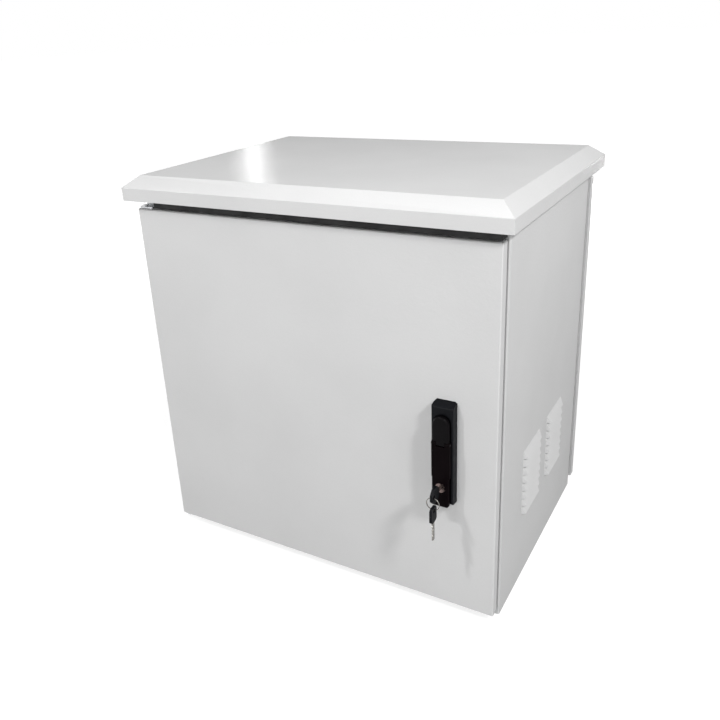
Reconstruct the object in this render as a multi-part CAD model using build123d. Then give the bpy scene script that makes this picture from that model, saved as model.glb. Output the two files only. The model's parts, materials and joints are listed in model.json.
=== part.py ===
from build123d import *
from math import hypot
import os

# Small outdoor 19-inch cabinet, in millimetres: X to the right, Y to the back, Z up.
# The origin is the centre of the body's footprint, on its underside.

# Fits and shop sizes shared by all pieces
sheet = 1.5
bend_radius = 2.0
overrun = 5.0
edge_break = 1.2
moving_gap = 0.3
running_play = 0.05
hole_play = 0.3

# Sides of the flat-sided bars that stand for small round ones, and of round outlines
hex_sides = 6
peg_sides = 8
arc_sides = 24

# Body shell and the opening at its front and rear; the width follows from the rails and braces
body_depth = 390.0
rack_units = 12
unit_height = 44.45
opening_margin = 0.3
sill_height = 33.0
header_height = 48.0
flange_width = 40.5

# Door and rear panel, two pans that stand off the body; the rear one is a little wider
pan_gap = 8.0
pan_depth = 15.0
pan_side_overlap = 39.0
rear_extra_overlap = 4.0
pan_top_overlap = 14.0
pan_bottom_overlap = 20.0
pan_side_lip = 20.0
pan_end_lip = 10.0
seal_width = 15.0
seal_thickness = 8.2

# Roof hood
roof_side_overhang = 15.5
roof_end_overhang = 12.0
roof_lip_height = 20.0
roof_rise = 17.0
roof_bevel_run = 22.0
stud_radius = 4.0
stud_length = 30.0
stud_inset_x = 50.0
stud_inset_y = 45.0
spacer_radius = 9.0
nut_radius = 7.5
nut_height = 6.5

# Side louvres
louvre_rows = 8
louvre_pitch = 14.0
louvre_height = 12.0
louvre_reach = 6.0
louvre_length = 80.0
louvre_end_taper = 6.0
louvre_column_gap = 41.0
louvre_centre_y = -2.0
louvre_centre_z = 175.0

# Rain strip above the door
strip_height = 9.0
strip_reach = 19.0
strip_door_gap = 1.5
strip_end_inset = 4.0

# Corner hinges
hinge_inset_x = 9.0
hinge_setback = 8.5
hinge_pin_radius = 2.5
hinge_pin_reach = 10.0
hinge_pin_head_radius = 5.0
hinge_pin_head_height = 2.0
hinge_block_width = 15.0
hinge_block_height = 12.5
bracket_thickness = 2.5
bracket_width = 26.0
bracket_nose = 5.0
upper_foot_height = 22.0
lower_foot_height = 11.5
bracket_screw_radius = 2.5
bracket_screw_head_radius = 3.8
bracket_screw_head_height = 2.5
bracket_screw_pitch = 12.0
bracket_screw_length = 9.0

# Rear panel fixings
rear_screw_radius = 3.0
rear_screw_head_radius = 6.0
rear_screw_head_height = 3.0
rear_screw_tail = 8.0
rear_sleeve_radius = 4.8
rear_screw_inset = 60.0

# Mounting rails, depth braces and their bolts
rail_hole_spacing = 465.1
rail_hole_size = 9.5
rail_hole_edge = 7.55
rail_face_width = 40.0
rail_side_width = 35.0
rail_overlength = 3.3
rail_first_hole = 6.35
rail_hole_step = 15.875
unit_holes = 3
rail_setback = 55.0
brace_depth = 32.0
brace_height = 40.0
brace_end_gap = 15.0
brace_low_z = 75.0
brace_drop = 42.0
rail_bolt_radius = 3.0
rail_bolt_head_radius = 6.0
rail_bolt_head_height = 3.5
rail_bolt_length = 12.0
rail_bolt_setback = 20.0

# Cable entry, anchor holes and earth stud in the bottom
gland_window_width = 260.0
gland_window_depth = 90.0
gland_rear_inset = 80.0
gland_plate_border = 15.0
gland_screw_radius = 2.0
gland_screw_head_radius = 4.0
gland_screw_head_height = 2.0
grommet_bore_radius = 18.0
grommet_groove_radius = 25.0
grommet_flange_radius = 29.0
grommet_top_flange = 3.0
grommet_floor_gap = 0.3
anchor_hole_radius = 6.0
anchor_inset_x = 58.5
anchor_inset_y = 40.0
earth_side_inset = 120.0
earth_plate_gap = 15.0
earth_stud_radius = 3.0
earth_stud_height = 20.0
earth_nut_radius = 5.8
earth_nut_height = 5.0

# Swing handle: base, hub, lever
handle_inset_x = 73.5
handle_centre_rise = 262.5
base_width = 32.0
base_height = 160.0
base_depth = 15.0
base_corner = 2.5
base_bevel = 1.2
base_end_slope = 5.0
pocket_width = 26.4
pocket_depth = 5.0
pocket_end_wall = 8.0
boss_width = 22.0
boss_length = 13.0
hub_below_top = 28.5
tongue_width = 24.0
tongue_bevel = 1.6
journal_radius = 8.0
neck_radius = 6.0
spindle_square = 8.0
lever_front = 22.0
lever_width = 27.0
lever_narrow_width = 23.6
lever_end_gap = 2.5
lever_narrow_length = 45.0
lever_step = 2.0
lever_corner = 2.0
lever_bevel = 0.8
pivot_below_hub = 29.5
pivot_gap = 0.45
lug_width = 12.0
lug_play = 0.3
lever_pin_radius = 1.5
handle_screw_radius = 2.5
handle_screw_head_radius = 4.5
handle_screw_head_height = 3.0
handle_screw_bite = 7.0
handle_screw_end = 8.0

# Latch cam behind the door
cam_thickness = 3.0
cam_clearance = 1.5
cam_engagement = 16.5
cam_width = 18.0
cam_hub_radius = 11.0
cam_corner = 4.0
cam_bolt_radius = 2.5
cam_bolt_depth = 10.0
cam_bolt_head_radius = 5.8
cam_bolt_head_height = 4.0

# Lock and keys
lock_rise = 33.5
plug_radius = 7.25
plug_proud = 0.8
plug_back_gap = 0.5
slot_depth = 5.5
key_thickness = 2.0
key_width = 5.5
key_length = 30.0
key_root = 6.0
key_neck = 6.2
notch_count = 4
notch_depth = 1.6
notch_pitch = 5.0
notch_first = 6.0
bow_size = 24.0
bow_corner = 7.0
spare_bow_width = 17.0
spare_bow_corner = 3.0
bow_thickness = 4.0
bow_hole_radius = 3.0
bow_hole_wall = 3.0
ring_radius = 9.5
ring_section = 1.2
ring_gap = 0.8

# Places worked out from the sizes above
rail_inner_x = rail_hole_spacing / 2 - rail_hole_edge
rail_outer_x = rail_inner_x + rail_face_width
half_width = rail_outer_x + brace_depth + sheet
half_depth = body_depth / 2
opening_half = half_width - flange_width
opening_bottom = sill_height
opening_top = opening_bottom + rack_units * unit_height + 2 * opening_margin
body_height = opening_top + header_height
opening_middle = (opening_bottom + opening_top) / 2
pan_half = opening_half + pan_side_overlap
pan_bottom = opening_bottom - pan_bottom_overlap
pan_top = opening_top + pan_top_overlap
pan_back = -half_depth - pan_gap
pan_front = pan_back - pan_depth
pan_inside = pan_front + sheet
rim_height = pan_gap + pan_depth - sheet - seal_thickness - moving_gap
rim_tip = half_depth + rim_height
roof_half_x = half_width + roof_side_overhang
roof_half_y = -pan_front + roof_end_overhang
roof_underside = body_height + roof_rise - sheet
hinge_x = -pan_half + hinge_inset_x
hinge_y = pan_front + hinge_setback
gland_centre_y = half_depth - gland_rear_inset
earth_x = half_width - earth_side_inset
earth_y = gland_centre_y - gland_window_depth / 2 - gland_plate_border - earth_plate_gap
rail_face_y = -half_depth + rail_setback
rail_bolt_y = rail_face_y + rail_bolt_setback
brace_heights = (brace_low_z, body_height - sheet - brace_drop - brace_height)
hub_x = pan_half - handle_inset_x
base_middle = pan_bottom + handle_centre_rise
base_bottom = base_middle - base_height / 2
base_top = base_middle + base_height / 2
base_front = pan_front - base_depth
hub_z = base_top - hub_below_top
lever_face = pan_front - lever_front
lever_back = base_front - moving_gap
lever_thickness = lever_back - lever_face
pivot_y = (lever_back + lever_face) / 2
pivot_z = hub_z - pivot_below_hub
lever_bottom = base_bottom + lever_end_gap
lock_z = base_bottom + lock_rise
plug_face = lever_face - plug_proud
cam_front = -half_depth + sheet + cam_clearance
cam_back = cam_front + cam_thickness
bow_reach = bow_size - bow_hole_radius - bow_hole_wall
key_hole_y = plug_face - key_neck - bow_reach
ring_top_z = lock_z - bow_hole_radius + ring_gap + ring_section / 2
ring_z = ring_top_z - ring_radius
spare_hole_z = ring_z - ring_radius + ring_section / 2 + ring_gap - bow_hole_radius


def span(x, y, z):
    """Box between two limits on each axis."""
    middle = ((x[0] + x[1]) / 2, (y[0] + y[1]) / 2, (z[0] + z[1]) / 2)
    return Pos(*middle) * Box(x[1] - x[0], y[1] - y[0], z[1] - z[0])


def prism(section, start, end):
    """Section drawn out from one point to another."""
    axis = Vector(*end) - Vector(*start)
    return extrude(Plane(origin=start, z_dir=axis) * section, amount=axis.length)


def rod(radius, start, end):
    """Round bar between two points."""
    return prism(Circle(radius), start, end)


def peg(radius, start, end):
    """Small bar with few sides, inside the round one's circle."""
    return prism(RegularPolygon(radius, peg_sides), start, end)


def drill(radius, start, end):
    """Hole for such a bar, outside the round hole's circle."""
    return prism(RegularPolygon(radius, peg_sides, major_radius=False), start, end)


def hexagon(radius, start, end):
    """Six-sided bar between two points."""
    return prism(RegularPolygon(radius, hex_sides), start, end)


def bolt(radius, head_radius, tip, seat, top):
    """Shank from its tip to its seat, with a six-sided head on the seat."""
    return peg(radius, tip, seat) + hexagon(head_radius, seat, top)


def plate(section, front, back):
    """Plate with its section drawn in X and Z, between two places along Y."""
    return extrude(Plane.XZ.offset(-back) * section, amount=back - front)


def eased(path):
    """The path with each corner cut by one facet, as a tight fold."""
    points = [path[0]]
    for before, corner, after in zip(path, path[1:], path[2:]):
        here = Vector(*corner)
        points += [here + (Vector(*other) - here).normalized() * bend_radius for other in (before, after)]
    return points + [path[-1]]


def folded(plane, path, length, side):
    """Sheet folded at the corners of the path and drawn out along the plane's normal."""
    skin = Polyline(*eased(path)).wire()
    section = make_face(skin.offset_2d(sheet, kind=Kind.INTERSECTION, side=side).edges())
    return extrude(plane * section, amount=length)


def corners(half_x, half_y):
    """Four places mirrored about both axes."""
    return [(x, y) for x in (-half_x, half_x) for y in (-half_y, half_y)]


def mirrored(shape):
    """The same piece on the left side of the cabinet."""
    return mirror(shape, about=Plane.YZ)


# Body shell: four folded sheets, butted at their edges
def louvre_forms():
    """One louvre pressed out of a wall at x = 0: its hood, and the cavity cut behind it."""
    half_height = louvre_height / 2
    half_length = louvre_length / 2
    slope_wall = sheet * hypot(louvre_height, louvre_reach) / louvre_height
    end_wall = sheet * hypot(louvre_end_taper, louvre_reach) / louvre_reach
    inside = -sheet - overrun
    mouth = louvre_reach - slope_wall
    ceiling = -half_height + (mouth - inside) * louvre_height / louvre_reach
    spread = half_length - end_wall
    taper = louvre_end_taper / louvre_reach

    def hood(side_points, end_points):
        side = make_face(Polyline(*side_points, close=True))
        ends = make_face(Polyline(*end_points, close=True))
        along = extrude(Plane.XZ * side, amount=half_length, both=True)
        return along & extrude(ends, amount=louvre_height + overrun, both=True)

    outer = hood(
        [(0, half_height), (louvre_reach, -half_height), (0, -half_height)],
        [(0, -half_length), (louvre_reach, louvre_end_taper - half_length),
         (louvre_reach, half_length - louvre_end_taper), (0, half_length)])
    cavity = hood(
        [(inside, ceiling), (mouth, -half_height), (inside, -half_height)],
        [(inside, inside * taper - spread), (louvre_reach, louvre_end_taper - spread),
         (louvre_reach, spread - louvre_end_taper), (inside, spread - inside * taper)])
    return outer - cavity, cavity


def louvre_places():
    """Centres of the louvres on the right side wall."""
    column_shift = (louvre_length + louvre_column_gap) / 2
    first_z = louvre_centre_z - louvre_pitch * (louvre_rows - 1) / 2
    return [
        (half_width, louvre_centre_y + column, first_z + louvre_pitch * row)
        for column in (-column_shift, column_shift)
        for row in range(louvre_rows)]


def rear_screw_places():
    """Rear panel screws, between the pan's lip and its seal."""
    seal_edge = opening_half + sheet / 2 + seal_width / 2
    x = (seal_edge + pan_half - pan_side_lip) / 2
    heights = (opening_bottom + rear_screw_inset, opening_top - rear_screw_inset)
    return [(side, z) for side in (-x, x) for z in heights]


def bracket_screw_places(z):
    """The two screws of a hinge bracket's foot."""
    middle = -pan_half + bracket_width / 2
    return [(middle - bracket_screw_pitch / 2, z), (middle + bracket_screw_pitch / 2, z)]


def side_panel():
    """Right side: wall with pressed louvres, flanges front and rear, rims folded round the openings."""
    rim_x = opening_half + sheet
    path = [(rim_x, -rim_tip), (rim_x, -half_depth), (half_width, -half_depth),
            (half_width, half_depth), (rim_x, half_depth), (rim_x, rim_tip)]
    panel = folded(Plane.XY, path, body_height, Side.LEFT)
    for ends in ((0, opening_bottom - sheet), (opening_top + sheet, body_height)):
        for y in ((-rim_tip, -half_depth), (half_depth, rim_tip)):
            panel -= span((opening_half, half_width), y, ends)
    for x, z in rear_screw_places():
        if x > 0:
            panel -= drill(rear_screw_radius + hole_play, (x, 0, z), (x, rim_tip, z))
    hood, cavity = louvre_forms()
    places = [Pos(*place) for place in louvre_places()]
    panel -= [place * cavity for place in places]
    panel += [place * hood for place in places]
    return panel


def left_side_panel():
    """Left side: mirror of the right, drilled for the hinge brackets."""
    panel = mirrored(side_panel())
    for x, z in bracket_screw_places(upper_screw_z) + bracket_screw_places(lower_screw_z):
        panel -= drill(bracket_screw_radius + hole_play, (x, -rim_tip, z), (x, 0, z))
    return panel


def cross_panel(web_z, rim_z, web, side):
    """Top or bottom: web between the side walls, flanges and rims between their flanges."""
    path = [(-rim_tip, rim_z), (-half_depth, rim_z), (-half_depth, web_z),
            (half_depth, web_z), (half_depth, rim_z), (rim_tip, rim_z)]
    fold = Pos(-opening_half, 0, 0) * folded(Plane.YZ, path, 2 * opening_half, side)
    inner_x = half_width - sheet
    inner_y = half_depth - sheet
    floor = span((-inner_x, inner_x), (-inner_y, inner_y), web)
    return fold + chamfer(floor.edges().filter_by(Axis.Z), bend_radius)


def stud_places():
    """Roof studs, set in from the body's corners."""
    return corners(half_width - stud_inset_x, half_depth - stud_inset_y)


def top_panel():
    """Top of the body under the roof hood, drilled for the roof studs."""
    top = (body_height - sheet, body_height)
    panel = cross_panel(body_height, opening_top + sheet, top, Side.RIGHT)
    for x, y in stud_places():
        panel -= drill(stud_radius + hole_play, (x, y, opening_top), (x, y, body_height + overrun))
    return panel


def gland_screw_places():
    """Screws in the gland plate's border."""
    half_x = (gland_window_width + gland_plate_border) / 2
    half_y = (gland_window_depth + gland_plate_border) / 2
    return [(x, gland_centre_y + y) for x, y in corners(half_x, half_y)]


def bottom_panel():
    """Bottom of the body with the cable window, anchor holes, and holes for the plate and earth stud."""
    panel = cross_panel(0, opening_bottom - sheet, (0, sheet), Side.LEFT)
    window_x = gland_window_width / 2
    window_y = (gland_centre_y - gland_window_depth / 2, gland_centre_y + gland_window_depth / 2)
    panel -= span((-window_x, window_x), window_y, (-overrun, sheet + overrun))
    for x, y in corners(half_width - anchor_inset_x, half_depth - anchor_inset_y):
        panel -= rod(anchor_hole_radius, (x, y, -overrun), (x, y, sheet + overrun))
    small_holes = [(gland_screw_radius + hole_play, place) for place in gland_screw_places()]
    small_holes += [(earth_stud_radius, (earth_x, earth_y))]
    for radius, (x, y) in small_holes:
        panel -= drill(radius, (x, y, -overrun), (x, y, sheet + overrun))
    return panel


# Roof hood and what it stands on
def hood_form(lip_half, lip_top, top_half, top_z):
    """Lip with a bevelled crown."""
    half_x, half_y = lip_half
    lip = span((-half_x, half_x), (-half_y, half_y), (body_height - roof_lip_height, lip_top))
    base = Pos(0, 0, lip_top) * Rectangle(2 * half_x, 2 * half_y)
    crown = Pos(0, 0, top_z) * Rectangle(2 * top_half[0], 2 * top_half[1])
    return lip + loft([base.face(), crown.face()])


def roof_hood():
    """Folded roof of one wall thickness, open below."""
    slant = hypot(roof_rise, roof_bevel_run)
    lip_drop = sheet * (slant - roof_rise) / roof_bevel_run
    top_inset = roof_bevel_run + sheet * (slant - roof_bevel_run) / roof_rise
    outer = hood_form(
        (roof_half_x, roof_half_y), body_height,
        (roof_half_x - roof_bevel_run, roof_half_y - roof_bevel_run), body_height + roof_rise)
    inner = hood_form(
        (roof_half_x - sheet, roof_half_y - sheet), body_height - lip_drop,
        (roof_half_x - top_inset, roof_half_y - top_inset), roof_underside)
    return outer - inner


def roof_spacers():
    """Sleeves that hold the hood off the body's top."""
    return [
        peg(spacer_radius, (x, y, body_height), (x, y, roof_underside))
        - drill(stud_radius + hole_play, (x, y, body_height), (x, y, roof_underside))
        for x, y in stud_places()]


def roof_studs():
    """Studs welded under the hood."""
    low = roof_underside - stud_length
    return [peg(stud_radius, (x, y, low), (x, y, roof_underside)) for x, y in stud_places()]


def roof_nuts():
    """Nuts under the body's top."""
    high = body_height - sheet
    return [
        hexagon(nut_radius, (x, y, high - nut_height), (x, y, high))
        - drill(stud_radius + running_play, (x, y, high - nut_height), (x, y, high))
        for x, y in stud_places()]


# Door, rear panel and their seals
def pan(half):
    """Folded tray facing the front: eased front edges, side walls, lips turned in at the back."""
    tray = span((-half, half), (pan_front, pan_back), (pan_bottom, pan_top))
    folds = tray.faces().sort_by(Axis.Y)[0].edges() + tray.edges().filter_by(Axis.Y)
    tray = chamfer(folds, edge_break)
    side = half - sheet
    mouth = half - pan_side_lip
    tray -= span((-side, side), (pan_inside, pan_back - sheet), (pan_bottom + sheet, pan_top - sheet))
    tray -= span((-mouth, mouth), (pan_inside, pan_back), (pan_bottom + pan_end_lip, pan_top - pan_end_lip))
    return tray


def seal_frame(back):
    """Foam frame laid inside a pan, facing the rim of the opening."""
    middle = sheet / 2
    outer_x = opening_half + middle + seal_width / 2
    outer_z = (opening_top - opening_bottom) / 2 + middle + seal_width / 2
    section = Rectangle(2 * outer_x, 2 * outer_z)
    section -= Rectangle(2 * (outer_x - seal_width), 2 * (outer_z - seal_width))
    return plate(Pos(0, opening_middle) * section, pan_inside, back)


def handle_screw_places():
    """Heights of the screws that hold the handle base to the door."""
    return base_bottom + handle_screw_end, base_top - handle_screw_end


def door_panel():
    """Door pan with the holes for the hinge pins and the handle."""
    door = pan(pan_half)
    pin_hole = hinge_pin_radius + hole_play
    door -= drill(pin_hole, (hinge_x, hinge_y, pan_bottom - overrun), (hinge_x, hinge_y, pan_top + overrun))
    window = boss_width + 2 * hole_play
    door -= plate(Pos(hub_x, hub_z) * Rectangle(window, window), pan_front, pan_inside)
    for z in handle_screw_places():
        door -= drill(handle_screw_radius + hole_play, (hub_x, pan_front, z), (hub_x, pan_inside, z))
    return door


def rear_panel():
    """Pan of the door's height at the back, with its screw holes."""
    panel = mirror(pan(pan_half + rear_extra_overlap), about=Plane.XZ)
    for x, z in rear_screw_places():
        panel -= drill(rear_screw_radius + hole_play, (x, -pan_inside, z), (x, -pan_front, z))
    return panel


def rear_panel_sleeves():
    """Sleeves that carry the rear panel off the body's flanges."""
    return [
        peg(rear_sleeve_radius, (x, half_depth, z), (x, -pan_inside, z))
        - drill(rear_screw_radius + hole_play, (x, half_depth, z), (x, -pan_inside, z))
        for x, z in rear_screw_places()]


def rear_panel_screws():
    """Screws through the rear panel, its sleeves and the body's flanges."""
    tip = half_depth - rear_screw_tail
    top = rear_screw_head_height - pan_front
    return [
        bolt(rear_screw_radius, rear_screw_head_radius, (x, tip, z), (x, -pan_front, z), (x, top, z))
        for x, z in rear_screw_places()]


def rain_strip():
    """Rubber strip on the header, above the door's top edge."""
    start = -pan_half + bracket_width + strip_end_inset
    low = pan_top + strip_door_gap
    deep = (-half_depth - strip_reach, -half_depth)
    return span((start, half_width - strip_end_inset), deep, (low, low + strip_height))


# Corner hinges
upper_plate_z = pan_top + moving_gap
lower_plate_z = pan_bottom - moving_gap - bracket_thickness
upper_screw_z = upper_plate_z + (upper_foot_height + bracket_thickness) / 2
lower_screw_z = lower_plate_z - (lower_foot_height - bracket_thickness) / 2


def hinge_bracket(plate_z, foot, screw_z):
    """Angle with a foot on the body's flange and a plate that carries the hinge pin."""
    right = bracket_width - pan_half
    nose = hinge_y - bracket_nose
    plate_top = plate_z + bracket_thickness
    blade = span((-pan_half, right), (nose, -half_depth), (plate_z, plate_top))
    blade = chamfer(blade.edges().filter_by(Axis.Z).group_by(Axis.Y)[0], bracket_nose / 2)
    bracket = blade + span((-pan_half, right), (-half_depth - bracket_thickness, -half_depth), foot)
    bracket -= drill(hinge_pin_radius, (hinge_x, hinge_y, plate_z), (hinge_x, hinge_y, plate_top))
    for x, z in bracket_screw_places(screw_z):
        start = (x, -half_depth - bracket_thickness, z)
        bracket -= drill(bracket_screw_radius + hole_play, start, (x, -half_depth, z))
    return bracket


def upper_hinge_bracket():
    """Bracket over the door, foot upwards."""
    return hinge_bracket(upper_plate_z, (upper_plate_z, upper_plate_z + upper_foot_height), upper_screw_z)


def lower_hinge_bracket():
    """Bracket under the door, foot downwards."""
    high = lower_plate_z + bracket_thickness
    return hinge_bracket(lower_plate_z, (high - lower_foot_height, high), lower_screw_z)


def hinge_pins():
    """Pins through the brackets into the door's hinge blocks."""
    pins = []
    for inner, outer, outward in (
            (pan_top - sheet - hinge_pin_reach, upper_plate_z + bracket_thickness, 1),
            (pan_bottom + sheet + hinge_pin_reach, lower_plate_z, -1)):
        cap = outer + outward * hinge_pin_head_height
        pins.append(
            rod(hinge_pin_radius, (hinge_x, hinge_y, inner), (hinge_x, hinge_y, outer))
            + hexagon(hinge_pin_head_radius, (hinge_x, hinge_y, outer), (hinge_x, hinge_y, cap)))
    return pins


def hinge_blocks():
    """Bored blocks welded into the door pan's corners."""
    wall = -pan_half + sheet
    bore = hinge_pin_radius + running_play
    blocks = []
    for low in (pan_bottom + sheet, pan_top - sheet - hinge_block_height):
        high = low + hinge_block_height
        block = span((wall, wall + hinge_block_width), (pan_inside, pan_back - sheet), (low, high))
        blocks.append(block - rod(bore, (hinge_x, hinge_y, low), (hinge_x, hinge_y, high)))
    return blocks


def hinge_screws():
    """Screws through the brackets' feet into the body's flange."""
    seat = -half_depth - bracket_thickness
    tip = seat + bracket_screw_length
    top = seat - bracket_screw_head_height
    return [
        bolt(bracket_screw_radius, bracket_screw_head_radius, (x, tip, z), (x, seat, z), (x, top, z))
        for x, z in bracket_screw_places(upper_screw_z) + bracket_screw_places(lower_screw_z)]


# Mounting rails, braces and bolts
def rail_bolt_places():
    """Heights of the rail bolts, half way up each brace."""
    return [low + brace_height / 2 for low in brace_heights]


def rail_bolt_hole(z):
    """Hole for a rail bolt, through the rail's side flange and the brace."""
    radius = rail_bolt_radius + hole_play
    return drill(radius, (rail_outer_x - overrun, rail_bolt_y, z), (rail_outer_x + overrun, rail_bolt_y, z))


def rail():
    """Right-hand angle rail with square holes, three to a unit."""
    path = [(rail_inner_x, rail_face_y), (rail_outer_x, rail_face_y),
            (rail_outer_x, rail_face_y + rail_side_width)]
    length = opening_top - opening_bottom + 2 * rail_overlength
    angle = Pos(0, 0, opening_bottom - rail_overlength) * folded(Plane.XY, path, length, Side.LEFT)
    hole_x = rail_hole_spacing / 2
    half = rail_hole_size / 2
    first = opening_bottom + opening_margin + rail_first_hole
    heights = [first + unit * unit_height + hole * rail_hole_step
               for unit in range(rack_units) for hole in range(unit_holes)]
    deep = (rail_face_y - overrun, rail_face_y + overrun)
    angle -= [span((hole_x - half, hole_x + half), deep, (z - half, z + half)) for z in heights]
    angle -= [rail_bolt_hole(z) for z in rail_bolt_places()]
    return angle


def brace(low):
    """Right-hand channel along the side wall that carries the rail."""
    wall = half_width - sheet
    high = low + brace_height
    path = [(wall, low), (rail_outer_x, low), (rail_outer_x, high), (wall, high)]
    reach = half_depth - sheet - brace_end_gap
    channel = Pos(0, reach, 0) * folded(Plane.XZ, path, 2 * reach, Side.RIGHT)
    return channel - rail_bolt_hole(low + brace_height / 2)


def rail_bolts():
    """Bolts through the rails' side flanges and the braces."""
    seat = rail_outer_x - sheet
    tip = seat + rail_bolt_length
    top = seat - rail_bolt_head_height
    y = rail_bolt_y
    right = [
        bolt(rail_bolt_radius, rail_bolt_head_radius, (tip, y, z), (seat, y, z), (top, y, z))
        for z in rail_bolt_places()]
    return right + [mirrored(one) for one in right]


# Cable entry and earth stud
def gland_plate():
    """Plate over the cable window, inside the cabinet, with a hole for the grommet."""
    half_x = gland_window_width / 2 + gland_plate_border
    half_y = gland_window_depth / 2 + gland_plate_border
    low = sheet
    high = 2 * sheet
    cover = span((-half_x, half_x), (gland_centre_y - half_y, gland_centre_y + half_y), (low, high))
    neck = RegularPolygon(grommet_groove_radius, arc_sides)
    cover -= prism(neck, (0, gland_centre_y, low), (0, gland_centre_y, high))
    for x, y in gland_screw_places():
        cover -= drill(gland_screw_radius + hole_play, (x, y, low), (x, y, high))
    return cover


def gland_screws():
    """Screws that hold the gland plate down."""
    tip = grommet_floor_gap
    seat = 2 * sheet
    top = seat + gland_screw_head_height
    return [
        bolt(gland_screw_radius, gland_screw_head_radius, (x, y, tip), (x, y, seat), (x, y, top))
        for x, y in gland_screw_places()]


def cable_grommet():
    """Rubber grommet: neck in the gland plate's hole, flange on top, round bore for the cable."""
    low = (0, gland_centre_y, grommet_floor_gap)
    seat = (0, gland_centre_y, 2 * sheet)
    high = (0, gland_centre_y, 2 * sheet + grommet_top_flange)
    neck = prism(RegularPolygon(grommet_groove_radius, arc_sides), low, seat)
    flange = prism(RegularPolygon(grommet_flange_radius, arc_sides), seat, high)
    return neck + flange - rod(grommet_bore_radius, low, high)


def earth_stud():
    """Threaded stud set in the bottom panel."""
    return peg(earth_stud_radius, (earth_x, earth_y, 0), (earth_x, earth_y, earth_stud_height))


def earth_nut():
    """Nut on the earth stud."""
    low = (earth_x, earth_y, sheet)
    high = (earth_x, earth_y, sheet + earth_nut_height)
    return hexagon(earth_nut_radius, low, high) - drill(earth_stud_radius + running_play, low, high)


# Swing handle
def handle_base():
    """Black tray on the door: bevelled rim, pocket behind the lever, bored boss through the door."""
    outline = Rectangle(base_width, base_height)
    outline = chamfer(outline.vertices(), base_corner)
    base = plate(Pos(hub_x, base_middle) * outline, base_front, pan_front)
    slopes = [(pan_front, base_bottom), (base_front, base_bottom + base_end_slope),
              (base_front, base_top - base_end_slope), (pan_front, base_top)]
    profile = Plane.YZ.offset(hub_x) * make_face(Polyline(*slopes, close=True))
    base &= extrude(profile, amount=base_width, both=True)
    base = chamfer(base.faces().sort_by(Axis.Y)[0].edges(), base_bevel)
    floor = base_bottom + pocket_end_wall
    pocket = Pos(hub_x, hub_z) * RegularPolygon(pocket_width / 2, arc_sides)
    pocket += Pos(hub_x, (floor + hub_z) / 2) * Rectangle(pocket_width, hub_z - floor)
    base -= plate(pocket, base_front, base_front + pocket_depth)
    base += plate(Pos(hub_x, hub_z) * Rectangle(boss_width, boss_width), pan_front, pan_front + boss_length)
    bore = journal_radius + running_play
    base -= rod(bore, (hub_x, base_front, hub_z), (hub_x, pan_front + boss_length, hub_z))
    for z in handle_screw_places():
        base -= drill(handle_screw_radius, (hub_x, pan_front - handle_screw_bite, z), (hub_x, pan_front, z))
    return base


def handle_screws():
    """Screws from inside the door into the handle base."""
    tip = pan_front - handle_screw_bite
    top = pan_inside + handle_screw_head_height
    head = handle_screw_head_radius
    return [
        bolt(handle_screw_radius, head, (hub_x, tip, z), (hub_x, pan_inside, z), (hub_x, top, z))
        for z in handle_screw_places()]


def knuckle(width):
    """Round bar about the lever's pivot, as thick as the lever."""
    half = width / 2
    return rod(lever_thickness / 2, (hub_x - half, pivot_y, pivot_z), (hub_x + half, pivot_y, pivot_z))


def handle_hub():
    """Hub: bevelled tongue with the lever's lug, journal, neck and square spindle end in one piece."""
    shoulder = pivot_z + lever_thickness / 2 + pivot_gap
    journal_back = pan_front + boss_length
    tongue = Pos(hub_x, hub_z) * RegularPolygon(tongue_width / 2, arc_sides)
    tongue += Pos(hub_x, (shoulder + hub_z) / 2) * Rectangle(tongue_width, hub_z - shoulder)
    hub = plate(tongue, lever_face, lever_back)
    rim = hub.faces().sort_by(Axis.Y)[0].edges().sort_by(Axis.Z)[1:]
    hub = chamfer(rim, tongue_bevel)
    hub += rod(journal_radius, (hub_x, lever_back, hub_z), (hub_x, journal_back, hub_z))
    hub += peg(neck_radius, (hub_x, journal_back, hub_z), (hub_x, cam_front, hub_z))
    hub += plate(Pos(hub_x, hub_z) * Rectangle(spindle_square, spindle_square), cam_front, cam_back)
    lug = Pos(hub_x, (pivot_z + shoulder) / 2) * Rectangle(lug_width, shoulder - pivot_z)
    hub += plate(lug, lever_face, lever_back) + knuckle(lug_width)
    pin_bore = lever_pin_radius + running_play
    hub -= rod(pin_bore, (hub_x - lug_width, pivot_y, pivot_z), (hub_x + lug_width, pivot_y, pivot_z))
    hub -= drill(cam_bolt_radius, (hub_x, cam_back - cam_bolt_depth, hub_z), (hub_x, cam_back, hub_z))
    return hub


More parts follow.
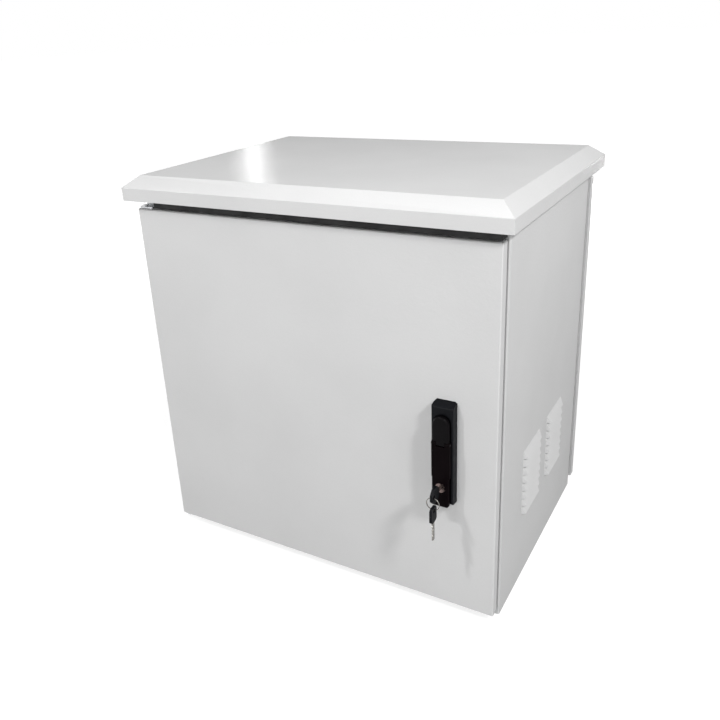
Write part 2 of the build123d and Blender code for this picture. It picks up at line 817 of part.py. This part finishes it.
def handle_lever():
    """Lever: stepped plate with rounded ears round the hub's lug, bored for the lock."""
    wide = lever_width / 2
    narrow = lever_narrow_width / 2
    step_low = lever_bottom + lever_narrow_length
    step_high = step_low + lever_step
    outline = [(-narrow, lever_bottom), (narrow, lever_bottom), (narrow, step_low), (wide, step_high),
               (wide, pivot_z), (-wide, pivot_z), (-wide, step_high), (-narrow, step_low)]
    section = make_face(Polyline(*outline, close=True))
    section = chamfer(section.vertices().group_by(Axis.Y)[0], lever_corner)
    lever = plate(Pos(hub_x, 0) * section, lever_face, lever_back)
    rim = lever.faces().sort_by(Axis.Y)[0].edges().sort_by(Axis.Z)[:-1]
    lever = chamfer(rim, lever_bevel) + knuckle(lever_width)
    slot = lug_width / 2 + lug_play
    slot_floor = pivot_z - lever_thickness / 2 - pivot_gap
    deep = (lever_face - overrun, lever_back + overrun)
    lever -= span((hub_x - slot, hub_x + slot), deep, (slot_floor, pivot_z + lever_thickness))
    left, right = hub_x - lever_width, hub_x + lever_width
    lever -= drill(lever_pin_radius, (left, pivot_y, pivot_z), (right, pivot_y, pivot_z))
    lever -= rod(plug_radius + running_play, (hub_x, deep[0], lock_z), (hub_x, deep[1], lock_z))
    return lever


def lever_pin():
    """Pivot pin pressed into the lever's ears."""
    half = lever_width / 2
    return rod(lever_pin_radius, (hub_x - half, pivot_y, pivot_z), (hub_x + half, pivot_y, pivot_z))


def latch_cam():
    """Cam plate on the spindle's square, long enough to reach behind the body's flange."""
    reach = opening_half - hub_x + cam_engagement
    arm = Pos(0, reach / 2) * Rectangle(cam_width, reach)
    arm = chamfer(arm.vertices().group_by(Axis.Y)[-1], cam_corner)
    square = spindle_square + running_play
    section = arm + RegularPolygon(cam_hub_radius, peg_sides) - Rectangle(square, square)
    return plate(Pos(hub_x, hub_z) * section, cam_front, cam_back)


def cam_bolt():
    """Bolt that holds the cam on the spindle."""
    tip = cam_back - cam_bolt_depth
    top = cam_back + cam_bolt_head_height
    places = [(hub_x, y, hub_z) for y in (tip, cam_back, top)]
    return bolt(cam_bolt_radius, cam_bolt_head_radius, *places)


# Lock and keys; a key is drawn hanging from the hole in its bow, with its plate in Y and Z
def lock_plug():
    """Round plug in the lever with the key slot."""
    half = key_thickness / 2 + running_play
    half_z = key_width / 2 + running_play
    back = lever_back - plug_back_gap
    plug = rod(plug_radius, (hub_x, plug_face, lock_z), (hub_x, back, lock_z))
    slot = (plug_face, plug_face + slot_depth)
    return plug - span((hub_x - half, hub_x + half), slot, (lock_z - half_z, lock_z + half_z))


def key_bow(width, corner):
    """Moulded grip round the key's root."""
    middle = bow_hole_radius + bow_hole_wall - bow_size / 2
    outline = Rectangle(width, bow_size)
    section = Pos(0, middle) * chamfer(outline.vertices(), corner)
    section -= RegularPolygon(bow_hole_radius, peg_sides, major_radius=False)
    bow = extrude(Plane.YZ * section, amount=bow_thickness / 2, both=True)
    half = key_thickness / 2 + running_play
    half_y = key_width / 2 + running_play
    return bow - span((-half, half), (-half_y, half_y), (-bow_reach, key_root - bow_reach))


def key_blade(length, notches):
    """Flat blade below the bow, with notches along its front edge."""
    half = key_thickness / 2
    half_y = key_width / 2
    blade = span((-half, half), (-half_y, half_y), (-bow_reach - length, key_root - bow_reach))
    for notch in range(notches):
        z = -bow_reach - notch_first - notch * notch_pitch
        corner = [(-half_y, z - notch_depth), (-half_y, z + notch_depth), (notch_depth - half_y, z)]
        notch_face = Plane.YZ * make_face(Polyline(*corner, close=True))
        blade -= extrude(notch_face, amount=key_thickness, both=True)
    return blade


def key_ring():
    """Flat-wound ring through the bows of both keys."""
    half = ring_section / 2
    section = RegularPolygon(ring_radius + half, arc_sides) - RegularPolygon(ring_radius - half, arc_sides)
    return plate(Pos(hub_x, ring_z) * section, key_hole_y - half, key_hole_y + half)


inserted = Pos(hub_x, key_hole_y, lock_z) * Rot(90, 0, 0)
hanging = Pos(hub_x, key_hole_y, spare_hole_z)
inserted_length = key_neck + slot_depth - running_play

nodes = {
    "left_side_panel": left_side_panel(),
    "right_side_panel": side_panel(),
    "top_panel": top_panel(),
    "bottom_panel": bottom_panel(),
    "roof_hood": roof_hood(),
    "roof_spacers": roof_spacers(),
    "roof_studs": roof_studs(),
    "roof_nuts": roof_nuts(),
    "rear_panel": rear_panel(),
    "rear_seal": mirror(seal_frame(-rim_tip), about=Plane.XZ),
    "rear_panel_sleeves": rear_panel_sleeves(),
    "rear_panel_screws": rear_panel_screws(),
    "rain_strip": rain_strip(),
    "upper_hinge_bracket": upper_hinge_bracket(),
    "lower_hinge_bracket": lower_hinge_bracket(),
    "hinge_pins": hinge_pins(),
    "hinge_screws": hinge_screws(),
    "right_rail": rail(),
    "left_rail": mirrored(rail()),
    "rail_bolts": rail_bolts(),
    "gland_plate": gland_plate(),
    "gland_screws": gland_screws(),
    "cable_grommet": cable_grommet(),
    "earth_stud": earth_stud(),
    "earth_nut": earth_nut(),
    "door_panel": door_panel(),
    "door_seal": seal_frame(-rim_tip - moving_gap),
    "hinge_blocks": hinge_blocks(),
    "handle_base": handle_base(),
    "handle_screws": handle_screws(),
    "handle_hub": handle_hub(),
    "latch_cam": latch_cam(),
    "cam_bolt": cam_bolt(),
    "handle_lever": handle_lever(),
    "lever_pin": lever_pin(),
    "lock_plug": lock_plug(),
    "key_bow": inserted * key_bow(bow_size, bow_corner),
    "key_blade": inserted * key_blade(inserted_length, 0),
    "key_ring": key_ring(),
    "spare_key_bow": hanging * key_bow(spare_bow_width, spare_bow_corner),
    "spare_key_blade": hanging * key_blade(key_length, notch_count),
}
for place, low in zip(("lower", "upper"), brace_heights):
    nodes[f"{place}_right_brace"] = brace(low)
    nodes[f"{place}_left_brace"] = mirrored(brace(low))

os.makedirs("parts", exist_ok=True)
for name, shape in nodes.items():
    solids = shape if isinstance(shape, list) else [shape]
    export_step(Compound(children=solids) if len(solids) > 1 else shape, f"parts/{name}.step")
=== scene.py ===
import json
import bpy
from mathutils import Matrix, Vector

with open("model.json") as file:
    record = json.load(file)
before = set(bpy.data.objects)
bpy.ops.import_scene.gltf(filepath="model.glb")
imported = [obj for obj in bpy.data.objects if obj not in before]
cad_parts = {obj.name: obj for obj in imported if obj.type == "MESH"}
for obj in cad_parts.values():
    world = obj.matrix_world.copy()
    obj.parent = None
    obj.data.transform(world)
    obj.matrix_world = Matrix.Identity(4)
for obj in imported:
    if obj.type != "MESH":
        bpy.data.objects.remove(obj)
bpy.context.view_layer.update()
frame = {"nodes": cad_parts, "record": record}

nodes = frame["nodes"]
slot_of = {part["node"]: part["material_slot"] for part in frame["record"]["subparts"]}

# Edge rounding: widths in metres by material slot, angle in radians
edge_widths = {
    "grey_paint": 0.0006, "zinc_steel": 0.0003, "black_rubber": 0.0008,
    "black_plastic": 0.0005, "lock_chrome": 0.0002, "key_nickel": 0.0002}
edge_segments = 2
sharp_angle = 0.5
merge_distance = 0.00001

# Floor and surroundings: levels as seen, 1 being white, and distances in metres
white = (1, 1, 1, 1)
floor_size = 60.0
floor_near, floor_near_level = 0.6, 0.82
floor_far, floor_far_level = 1.8, 1.0
ambient_level = 0.1
surround_level = 1.0

# Lamps: name, place, aim, width and height in metres, power in watts
body_centre = (0, 0, 0.35)
body_waist = (0, 0, 0.3)
roof_corner = (-0.18, -0.06, 0.63)
lamps = (
    ("ceiling_left", (-0.59, -1.43, 2.22), body_centre, 0.12, 0.12, 18.5),
    ("ceiling_right", (1.75, -1.03, 1.98), body_centre, 0.22, 0.22, 29),
    ("fill_right", (2.6, -0.4, 2.2), body_centre, 1.2, 1.2, 37),
    ("fill_front", (0.1, -3.2, 0.9), body_centre, 2.0, 2.0, 46),
    ("rear_fill", (-0.3, 3.0, 0.3), body_waist, 1.8, 0.5, 64),
    ("left_fill", (-3.0, 0.3, 0.3), body_waist, 1.8, 0.5, 64),
    ("rear_glint", (-1.664, 1.907, 1.029), roof_corner, 0.08, 0.08, 2.25),
)

# Camera: place in metres, its own three axes, lens and sensor in millimetres
camera_place = (0.58495, -1.07727, 0.83613)
camera_right = (0.86481607, 0.4996015, -0.04991489)
camera_up = (-0.14522762, 0.34407111, 0.92764433)
camera_back = (0.48062678, -0.79499271, 0.37011417)
camera_lens = 38.27
camera_sensor = 36.0
camera_shift = (0.0246, -0.0449)
camera_reach = 50.0


# Node helpers
def linear(*srgb):
    """Colour written in 0-255 sRGB, as linear RGBA."""
    values = [c / 255 for c in srgb]
    return [c / 12.92 if c <= 0.04045 else ((c + 0.055) / 1.055) ** 2.4 for c in values] + [1.0]


class Tree:
    """A material's or world's node tree with short ways to add and join nodes."""

    def __init__(self, owner):
        owner.use_nodes = True
        self.tree = owner.node_tree
        self.tree.nodes.clear()

    def add(self, kind, settings=None, **inputs):
        """A new node. An underscore in an input's name stands for a space."""
        node = self.tree.nodes.new(kind)
        for name, value in (settings or {}).items():
            setattr(node, name, value)
        for name, value in inputs.items():
            self.put(node, name.replace("_", " "), value)
        return node

    def put(self, node, name, value):
        """Links a socket to an input, or sets the input's own value."""
        socket = next(s for s in node.inputs if s.name == name and s.enabled)
        if isinstance(value, bpy.types.NodeSocket):
            self.join(value, socket)
        else:
            socket.default_value = value

    def join(self, source, socket):
        self.tree.links.new(source, socket)

    def math(self, operation, first, second):
        node = self.add("ShaderNodeMath", {"operation": operation})
        self.join(first, node.inputs[0])
        self.join(second, node.inputs[1])
        return node.outputs[0]

    def noise(self, scale, detail=3.0, stretch=(1, 1, 1)):
        """Noise in object space, in features per metre."""
        place = self.add("ShaderNodeTexCoord").outputs["Object"]
        sized = self.add("ShaderNodeMapping", Vector=place, Scale=stretch).outputs[0]
        node = self.add("ShaderNodeTexNoise", Vector=sized, Scale=scale, Detail=detail)
        return node.outputs[0]

    def spread(self, value, low, high, start=0.3, end=0.7):
        """The value moved from start..end to low..high."""
        node = self.add("ShaderNodeMapRange")
        for index, number in enumerate((start, end, low, high), 1):
            node.inputs[index].default_value = number
        self.join(value, node.inputs[0])
        return node.outputs[0]

    def blend(self, factor, first, second):
        """Colour between two colours."""
        node = self.add("ShaderNodeMix", {"data_type": "RGBA"})
        self.join(factor, node.inputs["Factor"])
        self.put(node, "A", first)
        self.put(node, "B", second)
        return next(s for s in node.outputs if s.enabled)

    def bump(self, height, strength, distance, under=None):
        """A normal bent by a height, on top of another normal where one is given."""
        node = self.add("ShaderNodeBump", Height=height, Strength=strength, Distance=distance)
        if under is not None:
            self.put(node, "Normal", under)
        return node.outputs[0]

    def show(self, node, output="ShaderNodeOutputMaterial"):
        self.join(node.outputs[0], self.add(output).inputs[0])

    def finish(self, **inputs):
        self.show(self.add("ShaderNodeBsdfPrincipled", **inputs))


def material(name):
    made = bpy.data.materials.new(name)
    return made, Tree(made)


# Finishes
def grey_paint():
    """Satin powder coat: fine orange peel, faint unevenness of tone and gloss."""
    made, tree = material("grey_paint")
    tone = tree.spread(tree.noise(scale=5.0, detail=4.0), low=0.0, high=1.0)
    speck = tree.spread(tree.noise(scale=900.0, detail=2.0), low=0.0, high=0.16, start=0.4, end=0.8)
    colour = tree.blend(tone, linear(210, 210, 210), linear(216, 216, 216))
    colour = tree.blend(speck, colour, linear(192, 193, 194))
    gloss = tree.spread(tree.noise(scale=30.0), low=0.42, high=0.5)
    wave = tree.bump(tree.noise(scale=9.0, detail=1.0), strength=0.05, distance=0.004)
    peel = tree.noise(scale=260.0, detail=2.0)
    tree.finish(
        Base_Color=colour, Roughness=gloss, Specular_IOR_Level=0.0,
        Normal=tree.bump(peel, strength=0.3, distance=0.0006, under=wave),
        Coat_Weight=0.13, Coat_Roughness=0.15,
        Coat_Normal=tree.bump(peel, strength=0.75, distance=0.0007, under=wave))
    return made


def zinc_steel():
    """Zinc plating: cloudy, faintly brushed metal."""
    made, tree = material("zinc_steel")
    cloud = tree.spread(tree.noise(scale=60.0, detail=4.0), low=0.0, high=1.0)
    colour = tree.blend(cloud, linear(186, 188, 192), linear(212, 213, 214))
    gloss = tree.spread(tree.noise(scale=140.0, detail=4.0), low=0.28, high=0.46)
    brushing = tree.noise(scale=260.0, stretch=(1, 1, 0.08))
    grain = tree.bump(brushing, strength=0.12, distance=0.0004)
    tree.finish(Base_Color=colour, Metallic=1.0, Roughness=gloss, Normal=grain)
    return made


def black_rubber():
    """Matt foam rubber with open pores."""
    made, tree = material("black_rubber")
    pores = tree.noise(scale=700.0)
    depth = tree.spread(pores, low=0.0, high=1.0)
    colour = tree.blend(depth, linear(15, 15, 16), linear(27, 27, 28))
    dull = tree.spread(tree.noise(scale=50.0), low=0.72, high=0.9)
    grain = tree.bump(pores, strength=0.25, distance=0.0006)
    tree.finish(Base_Color=colour, Roughness=dull, Normal=grain)
    return made


def black_plastic(name, dark, light, shine):
    """Glass-filled moulding with a fine spark-eroded grain."""
    made, tree = material(name)
    cloud = tree.spread(tree.noise(scale=45.0, detail=4.0), low=0.0, high=1.0)
    colour = tree.blend(cloud, dark, light)
    gloss = tree.spread(tree.noise(scale=90.0, detail=4.0), low=0.36, high=0.5)
    grain = tree.bump(tree.noise(scale=1400.0, detail=2.0), strength=0.14, distance=0.0003)
    tree.finish(Base_Color=colour, Roughness=gloss, Specular_IOR_Level=shine, Normal=grain)
    return made


def bright_plate(name, dark, light, stretch):
    """Bright plating with faint wiping marks."""
    made, tree = material(name)
    cloud = tree.spread(tree.noise(scale=110.0, detail=4.0), low=0.0, high=1.0)
    colour = tree.blend(cloud, dark, light)
    marks = tree.noise(scale=500.0, detail=4.0, stretch=stretch)
    gloss = tree.spread(marks, low=0.14, high=0.3)
    grain = tree.bump(marks, strength=0.06, distance=0.0003)
    tree.finish(Base_Color=colour, Metallic=1.0, Roughness=gloss, Normal=grain)
    return made


# Finish of each material slot, and of the nodes that differ from their slot
finishes = {
    "grey_paint": grey_paint(),
    "zinc_steel": zinc_steel(),
    "black_rubber": black_rubber(),
    # The base plastic's lighter, bluish tone is a painted sheen copied from its lit bevels.
    "black_plastic": black_plastic(
        "black_plastic", linear(8, 9, 12), linear(14, 15, 19), shine=0.08),
    "lock_chrome": bright_plate(
        "lock_chrome", linear(104, 90, 88), linear(132, 117, 114), stretch=(1, 1, 0.2)),
    "key_nickel": bright_plate(
        "key_nickel", linear(116, 114, 111), linear(146, 144, 139), stretch=(1, 0.15, 1)),
}
own_finishes = {
    # The lever's and hub's darker, warmer tones are painted shade on the base's own plastic; only
    # their lower shine is a real finish.
    "handle_lever": black_plastic(
        "lever_plastic_shaded", linear(8, 5, 6), linear(13, 8, 10), shine=0.02),
    "handle_hub": black_plastic(
        "hub_plastic_shaded", linear(8, 7, 8), linear(13, 11, 13), shine=0.05),
    "key_ring": finishes["key_nickel"],
    "lever_pin": black_plastic(
        "pin_black", linear(14, 14, 15), linear(22, 22, 23), shine=0.2),
}


def merge(obj, name):
    weld = obj.modifiers.new(name, "WELD")
    weld.merge_threshold = merge_distance


def soften(obj, width):
    """Rounds the edges of a node, whose own mesh stays as it is."""
    merge(obj, "weld")
    edge = obj.modifiers.new("edge", "BEVEL")
    edge.width = width
    edge.segments = edge_segments
    edge.limit_method = "ANGLE"
    edge.angle_limit = sharp_angle
    edge.harden_normals = True
    merge(obj, "close")


# The side panels keep their edges, because rounding spoils the pressed louvres
for name, obj in nodes.items():
    obj.data.materials.clear()
    obj.data.materials.append(own_finishes.get(name, finishes[slot_of[name]]))
    if not name.endswith("side_panel"):
        soften(obj, edge_widths[slot_of[name]])


# Stage: a floor and surroundings that are seen as white
def shown_ray(tree):
    """1 for rays from the camera, from gloss and through glass."""
    path = tree.add("ShaderNodeLightPath").outputs
    seen = tree.math("MAXIMUM", path["Is Camera Ray"], path["Is Glossy Ray"])
    return tree.math("MAXIMUM", seen, path["Is Transmission Ray"])


def floor_material():
    """Matt floor that takes the shadow, lifted to white where it is seen."""
    made, tree = material("floor")
    grain = tree.spread(tree.noise(scale=40.0), low=0.0, high=1.0)
    colour = tree.blend(grain, linear(138, 138, 138), linear(142, 142, 142))
    matt = tree.add("ShaderNodeBsdfDiffuse", Color=colour)
    reach = tree.add("ShaderNodeVectorMath", {"operation": "LENGTH"})
    tree.join(tree.add("ShaderNodeTexCoord").outputs["Object"], reach.inputs[0])
    level = tree.spread(
        reach.outputs["Value"], floor_near_level, floor_far_level, floor_near, floor_far)
    shown = tree.math("MULTIPLY", level, shown_ray(tree))
    lift = tree.add("ShaderNodeEmission", Color=white, Strength=shown)
    both = tree.add("ShaderNodeAddShader")
    tree.join(matt.outputs[0], both.inputs[0])
    tree.join(lift.outputs[0], both.inputs[1])
    tree.show(both)
    return made


bpy.ops.mesh.primitive_plane_add(size=floor_size, location=(0, 0, 0))
floor = bpy.context.object
floor.name = "floor"
floor.data.materials.append(floor_material())

world = bpy.data.worlds.new("studio")
bpy.context.scene.world = world
sky = Tree(world)
strength = sky.spread(shown_ray(sky), ambient_level, surround_level, start=0.0, end=1.0)
background = sky.add("ShaderNodeBackground", Color=white, Strength=strength)
sky.show(background, "ShaderNodeOutputWorld")


def lamp(name, place, aim, width, height, power):
    """Soft rectangular lamp aimed at a point."""
    light = bpy.data.lights.new(name, "AREA")
    light.shape = "RECTANGLE"
    light.size = width
    light.size_y = height
    light.energy = power
    obj = bpy.data.objects.new(name, light)
    bpy.context.collection.objects.link(obj)
    obj.location = place
    obj.rotation_euler = (Vector(aim) - Vector(place)).to_track_quat("-Z", "Y").to_euler()
    obj.visible_camera = False


for entry in lamps:
    lamp(*entry)

# Camera at the photograph's viewing angle
camera = bpy.data.cameras.new("camera")
camera.sensor_width = camera_sensor
camera.lens = camera_lens
camera.shift_x, camera.shift_y = camera_shift
camera.clip_end = camera_reach
eye = bpy.data.objects.new("camera", camera)
bpy.context.collection.objects.link(eye)
turn = Matrix((camera_right, camera_up, camera_back)).transposed().to_4x4()
eye.matrix_world = Matrix.Translation(camera_place) @ turn
bpy.context.scene.camera = eye
bpy.context.scene.view_settings.view_transform = "Standard"
